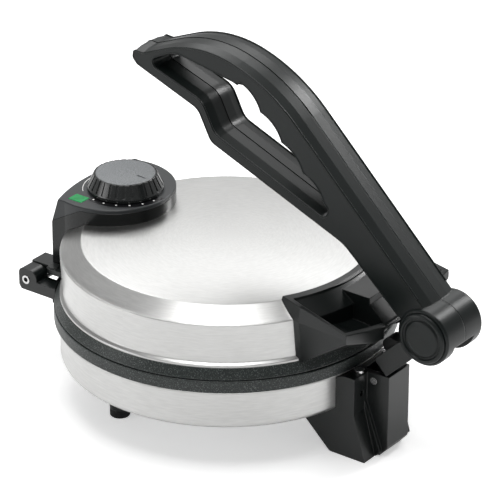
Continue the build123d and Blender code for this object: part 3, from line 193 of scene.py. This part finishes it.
def brushedSteel():
    look = steelLook
    steel = Finish("brushedSteel", {"Metallic": 1.0})
    x = steel.add("SeparateXYZ", None, {0: steel.place()})
    y = x.beside(1) - axisY
    z = x.beside(2)
    radius = steel.add("Math", {"operation": "SQRT"}, {0: x * x + y * y})
    turn = steel.add("Math", {"operation": "ARCTAN2"}, {0: y, 1: x})
    rings = steel.add("CombineXYZ", None, {0: radius, 1: turn * look["run"], 2: z})
    brushing = steel.noise(look["grain"], look["grainDetail"], rings)
    clouds = steel.noise(look["cloud"])
    shades = shaded(look["colour"], look["shade"]), look["colour"]
    steel.set({
        "Base Color": steel.ramp(brushing, list(zip(look["shadeStops"], shades))),
        "Roughness": look["roughness"] + brushing * look["brushed"] + clouds * look["clouded"],
        "Normal": steel.bump(brushing, look["bump"], look["depth"], look["edge"]),
    })
    return steel.material


coatingLook = {
    "dark": (0.013, 0.017, 0.016),
    "patchy": 1.7,  # how much lighter the blotches are
    "light": (0.13, 0.145, 0.14),
    "speck": 1400.0,
    "speckDetail": 1.0,
    "speckStops": (0.56, 0.70),
    "blotch": 280.0,
    "roughness": 0.36,
    "uneven": 0.16,
    "bump": 0.25,
    "depth": 0.06 * mm,
    "edge": 0.7 * mm,
    "gloss": 0.5,
}


def speckledCoating():
    look = coatingLook
    coating = Finish("speckledCoating", {"Specular IOR Level": look["gloss"]})
    specks = coating.noise(look["speck"], look["speckDetail"])
    blotches = coating.noise(look["blotch"])
    low, high = look["speckStops"]
    shown = coating.ramp(specks, [(low, 0.0), (high, 1.0)])
    base = coating.mixed(blotches, look["dark"], shaded(look["dark"], look["patchy"]))
    coating.set({
        "Base Color": coating.mixed(shown, base, look["light"]),
        "Roughness": look["roughness"] + blotches * look["uneven"],
        "Normal": coating.bump(specks, look["bump"], look["depth"], look["edge"]),
    })
    return coating.material


plasticGrain = {  # shared by every moulding
    "broad": 22.0,
    "broadDetail": 3.0,
    "shades": (0.85, 1.2),
    "uneven": 0.06,
    "bump": 0.12,
    "depth": 0.04 * mm,
}
mouldingLook = {
    "colour": (0.0058, 0.0078, 0.0075),
    "roughness": 0.25,
    "grain": 1900.0,
    "edge": 0.9 * mm,
}
leverLook = {
    "colour": (0.0060, 0.0088, 0.0084),
    "roughness": 0.28,
    "grain": 1500.0,
    "edge": 1.3 * mm,
    "gloss": 0.34,
}
# painted shade: a near-black tube that stands in for the shadow in the seam between the lever's halves
seamShadeLook = {
    "colour": (0.0015, 0.0015, 0.0015),
    "roughness": 0.7,
    "grain": 1500.0,
    "edge": 0.1 * mm,
    "gloss": 0.1,
}
skirtLook = {
    "colour": (0.012, 0.014, 0.014),
    "roughness": 0.16,
    "grain": 2400.0,
    "edge": 0.22 * mm,  # smaller than the skirt's ribs
    "gloss": 0.9,
}
housingLook = {
    "colour": (0.0045, 0.0055, 0.0055),
    "roughness": 0.14,
    "grain": 1900.0,
    "edge": 0.9 * mm,
    "gloss": 0.40,
}
coverLook = {
    "colour": (0.020, 0.023, 0.025),
    "roughness": 0.33,
    "grain": 1700.0,
    "edge": 0.7 * mm,
}
dialLook = {
    "colour": (0.006, 0.006, 0.007),
    "roughness": 0.14,
    "grain": 2500.0,
    "edge": 0.2 * mm,
}
rubberLook = {
    "colour": (0.012, 0.012, 0.012),
    "roughness": 0.62,
    "grain": 1400.0,
    "edge": 0.6 * mm,
    "gloss": 0.3,
}


def mouldedPlastic(name, colour, roughness, grain, edge, gloss=0.5):
    look = plasticGrain
    plastic = Finish(name, {"Specular IOR Level": gloss})
    fine = plastic.noise(grain)
    broad = plastic.noise(look["broad"], look["broadDetail"])
    plastic.set({
        "Base Color": plastic.mixed(broad, *[shaded(colour, share) for share in look["shades"]]),
        "Roughness": roughness + fine * look["uneven"] + broad * look["uneven"],
        "Normal": plastic.bump(fine, look["bump"], look["depth"], edge),
    })
    return plastic.material


knobFaceLook = {
    "hollows": (0.10, 0.11, 0.115),
    "specks": (0.24, 0.25, 0.26),
    "stops": (0.35, 0.65),
    "grain": 1500.0,
    "detail": 3.0,
    "roughness": 0.32,
    "uneven": 0.15,
    "bump": 0.2,
    "depth": 0.05 * mm,
    "edge": 0.5 * mm,
    "gloss": 0.6,
}


def knobFace():
    look = knobFaceLook
    face = Finish("knobFace", {"Specular IOR Level": look["gloss"]})
    specks = face.noise(look["grain"], look["detail"])
    face.set({
        "Base Color": face.ramp(specks, list(zip(look["stops"], (look["hollows"], look["specks"])))),
        "Roughness": look["roughness"] + specks * look["uneven"],
        "Normal": face.bump(specks, look["bump"], look["depth"], look["edge"]),
    })
    return face.material


metalWear = {  # shared by the pan, the fasteners and the bush
    "scale": 180.0,
    "detail": 3.0,
    "shade": 0.85,
    "uneven": 0.12,
    "bump": 0.05,
    "depth": 0.05 * mm,
    "edge": 0.3 * mm,
}
panLook = {"colour": (0.42, 0.43, 0.43), "roughness": 0.42}
fastenerLook = {"colour": (0.72, 0.72, 0.72), "roughness": 0.18}
bushLook = {"colour": (0.72, 0.50, 0.20), "roughness": 0.25}


def platedMetal(name, colour, roughness):
    look = metalWear
    metal = Finish(name, {"Metallic": 1.0})
    wear = metal.noise(look["scale"], look["detail"])
    metal.set({
        "Base Color": metal.mixed(wear, shaded(colour, look["shade"]), colour),
        "Roughness": roughness + wear * look["uneven"],
        "Normal": metal.bump(wear, look["bump"], look["depth"], look["edge"]),
    })
    return metal.material


lensMoulding = {  # shared by both lenses
    "roughness": 0.12,
    "coat": 0.6,
    "ribs": 260.0,
    "clouds": 260.0,
    "cloudDetail": 1.0,
    "bump": 0.2,
    "depth": 0.1 * mm,
}
# glow: a painted glow, light that each lens gives off by itself while the lamps behind it stay dark
greenLook = {"dark": (0.006, 0.22, 0.055), "light": (0.02, 0.42, 0.12), "glow": 0.12}
redLook = {"dark": (0.24, 0.01, 0.008), "light": (0.45, 0.03, 0.02), "glow": 0.10}


# a tinted lens whose tint also drives the emission, a painted glow of its own colour
def paintedGlowLens(name, dark, light, glow):
    look = lensMoulding
    lens = Finish(name, {"Roughness": look["roughness"], "Coat Weight": look["coat"]})
    ribs = lens.add("TexWave", {"bands_direction": "Y"}, {"Vector": lens.place(), "Scale": look["ribs"]})
    tint = lens.mixed(lens.noise(look["clouds"], look["cloudDetail"]), dark, light)
    raised = lens.bump(ribs, look["bump"], look["depth"])
    lens.set({"Base Color": tint, "Emission Color": tint, "Emission Strength": glow, "Normal": raised})
    return lens.material


inkLook = {"dull": (0.86, 0.86, 0.84), "clean": (0.95, 0.95, 0.93), "grain": 900.0, "roughness": 0.5}


def inkWhite():
    look = inkLook
    ink = Finish("dialInk", {"Roughness": look["roughness"]})
    ink.set({"Base Color": ink.mixed(ink.noise(look["grain"]), look["dull"], look["clean"])})
    return ink.material


glassLook = {
    "clear": (0.9, 0.9, 0.88),
    "hazy": (0.8, 0.8, 0.76),
    "haze": 90.0,
    "roughness": 0.08,
    "seeThrough": 0.9,
}


def clearGlass():
    look = glassLook
    glass = Finish("lampGlass", {"Roughness": look["roughness"], "Transmission Weight": look["seeThrough"]})
    glass.set({"Base Color": glass.mixed(glass.noise(look["haze"]), look["clear"], look["hazy"])})
    return glass.material


sheathLook = {
    "sooted": (0.10, 0.085, 0.08),
    "straw": (0.30, 0.25, 0.20),
    "stops": (0.35, 0.65),
    "tint": 60.0,
    "detail": 3.0,
    "metal": 0.9,
    "roughness": 0.4,
    "uneven": 0.2,
}


def heatTinted():
    look = sheathLook
    sheath = Finish("elementSheath", {"Metallic": look["metal"]})
    tint = sheath.noise(look["tint"], look["detail"])
    sheath.set({
        "Base Color": sheath.ramp(tint, list(zip(look["stops"], (look["sooted"], look["straw"])))),
        "Roughness": look["roughness"] + tint * look["uneven"],
    })
    return sheath.material


finishes = {
    "stainless": brushedSteel(),
    "pan_steel": platedMetal("dullSteel", **panLook),
    "plate_coating": speckledCoating(),
    "element_sheath": heatTinted(),
    "plated_steel": platedMetal("brightPlate", **fastenerLook),
    "black_moulding": mouldedPlastic("blackMoulding", **mouldingLook),
    "cover_grey": mouldedPlastic("coverGrey", **coverLook),
    "knob_face": knobFace(),
    "dial_black": mouldedPlastic("dialBlack", **dialLook),
    "foot_rubber": mouldedPlastic("footRubber", **rubberLook),
    "lens_green": paintedGlowLens("greenLens", **greenLook),
    "lens_red": paintedGlowLens("redLens", **redLook),
    "lamp_glass": clearGlass(),
    "bush_brass": platedMetal("bushBrass", **bushLook),
}
leverSatin = mouldedPlastic("leverSatin", **leverLook)
ownFinish = {  # nodes that don't wear their slot's plain finish
    "lever_left_half": leverSatin,
    "lever_right_half": leverSatin,
    "hub_cap_left": leverSatin,
    "hub_cap_right": leverSatin,
    "knob_skirt": mouldedPlastic("knobSkirt", **skirtLook),
    "control_housing": mouldedPlastic("housingGloss", **housingLook),
}
ink = inkWhite()

for entry in frame["record"]["subparts"]:
    node = entry["node"]
    mesh = cad[node].data
    mesh.materials.clear()
    mesh.materials.append(ownFinish.get(node, finishes[entry["material_slot"]]))
print("finishes: ", len(finishes))


# Small printed marks on the dial


def pieceFrom(bm, name, material, body):
    mesh = bpy.data.meshes.new(name)
    bmesh.ops.recalc_face_normals(bm, faces=bm.faces)
    bm.to_mesh(mesh)
    bm.free()
    mesh.materials.append(material)
    piece = bpy.data.objects.new(name, mesh)
    bpy.context.scene.collection.objects.link(piece)
    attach(piece, body)
    return piece


dialMarks = {
    "dots": 6,
    "dotRing": 28.4 * mm,
    "dotRadius": 0.75 * mm,
    "dotTaper": 0.9,
    "dotFaces": 24,
    "firstDot": 168.0,
    "dotStep": 18.6,
    "arcRing": 29.5 * mm,
    "arcWidth": 0.5 * mm,
    "arcFrom": 90.0,
    "arcTo": 137.0,
    "arcSteps": 30,
    "thick": 0.08 * mm,
}


def dialDots():
    marks = dialMarks
    bm = bmesh.new()
    for dot in range(marks["dots"]):
        angle = math.radians(marks["firstDot"] + dot * marks["dotStep"])
        out = marks["dotRing"]
        spot = Vector((knobPin.x + out * math.cos(angle), knobPin.y + out * math.sin(angle), coverTop))
        bmesh.ops.create_cone(
            bm, cap_ends=True, segments=marks["dotFaces"], depth=marks["thick"] * 2,
            radius1=marks["dotRadius"], radius2=marks["dotRadius"] * marks["dotTaper"],
            matrix=Matrix.Translation(spot),
        )
    return pieceFrom(bm, "dialDots", ink, "lid")


def dialArc():
    marks = dialMarks
    bm = bmesh.new()
    start = math.radians(marks["arcFrom"])
    sweep = math.radians(marks["arcTo"] - marks["arcFrom"])
    inner = marks["arcRing"] - marks["arcWidth"] / 2
    outer = inner + marks["arcWidth"]
    corners = []
    for out, rise in ((inner, 0), (outer, 0), (outer, marks["thick"]), (inner, marks["thick"])):
        place = knobPin.x + out * math.cos(start), knobPin.y + out * math.sin(start), coverTop + rise
        corners.append(bm.verts.new(place))
    face = bm.faces.new(corners)
    bmesh.ops.spin(
        bm, geom=[face], cent=(knobPin.x, knobPin.y, 0), axis=(0, 0, 1), angle=sweep,
        steps=marks["arcSteps"], use_duplicate=False,
    )
    return pieceFrom(bm, "dialArc", ink, "lid")


dialDots()
dialArc()
print("dial marks")


# Lever: painted shade along the seam between its halves, and the lip round each side

leverTrim = {
    "seamAt": 0.02 * mm,
    "seamRadius": 0.28 * mm,
    "lipAt": 16.6 * mm,
    "lipRadius": 0.75 * mm,
    "clearOfHub": 21.0 * mm,
    "shortest": 150.0 * mm,  # shorter runs of the outline get no trim
    "weld": 0.01 * mm,
    "onPlane": 0.001 * mm,
    "straight": 0.5,  # degrees between two runs that count as one
    "decimals": 6,
    "roundness": 3,
}


def sectionOf(node, x):
    bm = bmesh.new()
    bm.from_mesh(cad[node].data)
    bmesh.ops.remove_doubles(bm, verts=bm.verts, dist=leverTrim["weld"])
    cut = bmesh.ops.bisect_plane(
        bm, geom=bm.verts[:] + bm.edges[:] + bm.faces[:], dist=leverTrim["onPlane"],
        plane_co=(x, 0, 0), plane_no=(1, 0, 0),
    )
    outline = {item for item in cut["geom_cut"] if isinstance(item, bmesh.types.BMEdge)}
    bmesh.ops.delete(bm, geom=[edge for edge in bm.edges if edge not in outline], context="EDGES")
    hubSide = [v for v in bm.verts if math.hypot(v.co.y - hub.y, v.co.z - hub.z) < leverTrim["clearOfHub"]]
    bmesh.ops.delete(bm, geom=hubSide, context="VERTS")
    straight = math.radians(leverTrim["straight"])
    bmesh.ops.dissolve_limit(bm, angle_limit=straight, verts=bm.verts, edges=bm.edges)
    return bm


def chains(bm):  # the outline's points in order, run by run
    places = leverTrim["decimals"]
    left = set(bm.verts)
    found = []
    while left:
        ends = [v for v in left if len(v.link_edges) == 1]
        here = min(ends or left, key=lambda v: (round(v.co.y, places), round(v.co.z, places)))
        chain = []
        while here is not None:
            chain.append(here.co.copy())
            left.discard(here)
            beside = [edge.other_vert(here) for edge in here.link_edges]
            here = next((vert for vert in beside if vert in left), None)
        found.append((chain, not ends))
    return found


def tubeAlong(name, bm, radius, material, body):
    curve = bpy.data.curves.new(name, "CURVE")
    curve.dimensions = "3D"
    curve.bevel_depth = radius
    curve.bevel_resolution = leverTrim["roundness"]
    curve.use_fill_caps = True
    for chain, closed in chains(bm):
        length = sum((b - a).length for a, b in zip(chain, chain[1:]))
        if length < leverTrim["shortest"]:
            continue
        spline = curve.splines.new("POLY")
        spline.points.add(len(chain) - 1)
        for point, place in zip(spline.points, chain):
            point.co = (*place, 1)
        spline.use_cyclic_u = closed
    bm.free()
    shape = bpy.data.objects.new(name, curve)
    tube = bmesh.new()
    tube.from_mesh(bpy.data.meshes.new_from_object(shape))
    bpy.data.objects.remove(shape)
    for face in tube.faces:
        face.smooth = True
    return pieceFrom(tube, name, material, body)


# the seam's tube is painted shade, darker than the lever, laid where the groove between the halves would be shaded
paintedSeamShade = mouldedPlastic("paintedSeamShade", **seamShadeLook)
seamLine = sectionOf("lever_left_half", -leverTrim["seamAt"])
tubeAlong("leverSeamShade", seamLine, leverTrim["seamRadius"], paintedSeamShade, "lever")
for name, node, side in (("leverLipLeft", "lever_left_half", -1), ("leverLipRight", "lever_right_half", 1)):
    lipLine = sectionOf(node, side * leverTrim["lipAt"])
    tubeAlong(name, lipLine, leverTrim["lipRadius"], leverSatin, "lever")
print("lever trim")


# Camera

view = {
    "turn": -53.46,
    "height": 26.35,
    "roll": 0.20,
    "distance": 2.2,
    "across": 15.9 * mm,
    "up": 41.0 * mm,
    "lens": 232.8,
    "aimZ": 61.0 * mm,
    "sensor": 36.0,
    "reach": 20.0,
}


def standCamera():
    turn = math.radians(view["turn"])
    height = math.radians(view["height"])
    roll = math.radians(view["roll"])
    ahead = Vector((-math.sin(turn) * math.cos(height), math.cos(turn) * math.cos(height), -math.sin(height)))
    right = Vector((math.cos(turn), math.sin(turn), 0))
    up = right.cross(ahead)
    aim = Vector((0, axisY, view["aimZ"]))
    place = aim - ahead * view["distance"] + right * view["across"] + up * view["up"]
    rolledRight = right * math.cos(roll) + up * math.sin(roll)
    rolledUp = up * math.cos(roll) - right * math.sin(roll)
    data = bpy.data.cameras.new("camera")
    data.lens = view["lens"]
    data.sensor_width = view["sensor"]
    data.clip_end = view["reach"]
    camera = bpy.data.objects.new("camera", data)
    turned = Matrix((rolledRight, rolledUp, -ahead)).transposed().to_4x4()
    camera.matrix_world = Matrix.Translation(place) @ turned
    bpy.context.scene.collection.objects.link(camera)
    bpy.context.scene.camera = camera


standCamera()
print("camera")


# Floor, lamps and surroundings

studio = {
    "floorSize": 12.0,
    "floor": 0.96,
    "floorRoughness": 0.9,
    "floorGloss": 0.1,
    "floorCloud": 0.6,
    "floorUneven": 0.01,
    "floorGlow": 0.46,
    "mirroredGlow": 0.4,  # share of the glow that metal shows
    "lamps": {
        "above": {"at": (-0.35, -0.1, 1.6), "aim": (0, 0, 0.05), "wide": 0.8, "high": 0.8, "watts": 11.0},
        "left": {"at": (-1.3, 1.0, 0.40), "aim": (0, 0, 0.15), "wide": 0.7, "high": 0.7, "watts": 4.0},
        "behind": {"at": (0.95, 0.85, 1.45), "aim": (0, 0, 0.1), "wide": 1.7, "high": 0.9, "watts": 15.0},
        "right": {"at": (1.35, -0.35, 1.05), "aim": (0, -0.15, 0.1), "wide": 0.35, "high": 0.35, "watts": 9},
    },
    "sky": [(0.0, 0.55), (0.12, 0.48), (0.30, 0.40), (0.6, 0.30), (1.0, 0.40)],  # by height
    "skyTurn": (0.72, 0.53, 0.0),  # towards the bright side of the room
    "skyDimmest": -0.9,  # how far from that side it is dimmest
    "skyFront": 0.55,
    "backdrop": (1.0, 1.0, 1.0),
}


def layFloor():
    bm = bmesh.new()
    bmesh.ops.create_grid(bm, x_segments=1, y_segments=1, size=studio["floorSize"] / 2)
    mesh = bpy.data.meshes.new("floor")
    bm.to_mesh(mesh)
    bm.free()
    paper = Finish("floorPaper", {"Roughness": studio["floorRoughness"]})
    level = studio["floor"]
    raised = level + studio["floorUneven"]
    seen = paper.add("LightPath", out="Is Camera Ray")
    seen = seen + seen.beside("Is Glossy Ray") * studio["mirroredGlow"] + seen.beside("Is Transmission Ray")
    glow = seen * studio["floorGlow"]
    paper.set({
        "Base Color": paper.mixed(paper.noise(studio["floorCloud"]), (level,) * 3, (raised,) * 3),
        "Emission Color": paper.add("CombineColor", None, {0: glow, 1: glow, 2: glow}),
        "Emission Strength": 1.0,
        "Specular IOR Level": studio["floorGloss"],
    })
    mesh.materials.append(paper.material)
    floor = bpy.data.objects.new("floor", mesh)
    bpy.context.scene.collection.objects.link(floor)


def hangLamps():
    for name, lamp in studio["lamps"].items():
        data = bpy.data.lights.new(name, "AREA")
        data.shape = "RECTANGLE"
        data.size = lamp["wide"]
        data.size_y = lamp["high"]
        data.energy = lamp["watts"]
        light = bpy.data.objects.new(name, data)
        light.location = lamp["at"]
        light.rotation_euler = (Vector(lamp["aim"]) - Vector(lamp["at"])).to_track_quat("-Z", "Y").to_euler()
        bpy.context.scene.collection.objects.link(light)


def surround():
    world = bpy.data.worlds.new("studio")
    world.use_nodes = True
    room = Nodes(world.node_tree)
    direction = room.add("TexCoord", out="Generated")
    height = room.add("SeparateXYZ", None, {0: direction}, out=2)
    towards = {0: direction, 1: studio["skyTurn"]}
    facing = room.add("VectorMath", {"operation": "DOT_PRODUCT"}, towards, out="Value")
    limits = {"Value": facing, "From Min": studio["skyDimmest"], "To Min": studio["skyFront"]}
    share = room.add("MapRange", None, limits)
    sky = room.ramp(height, studio["sky"])
    dimmed = room.add("VectorMath", {"operation": "SCALE"}, {0: sky, "Scale": share})
    seen = room.add("LightPath", out="Is Camera Ray")
    light = room.add("Background", None, {"Color": room.mixed(seen, dimmed, studio["backdrop"])})
    room.add("OutputWorld", None, {"Surface": light})
    bpy.context.scene.world = world


layFloor()
hangLamps()
surround()
bpy.context.scene.view_settings.view_transform = "Standard"
print("studio")
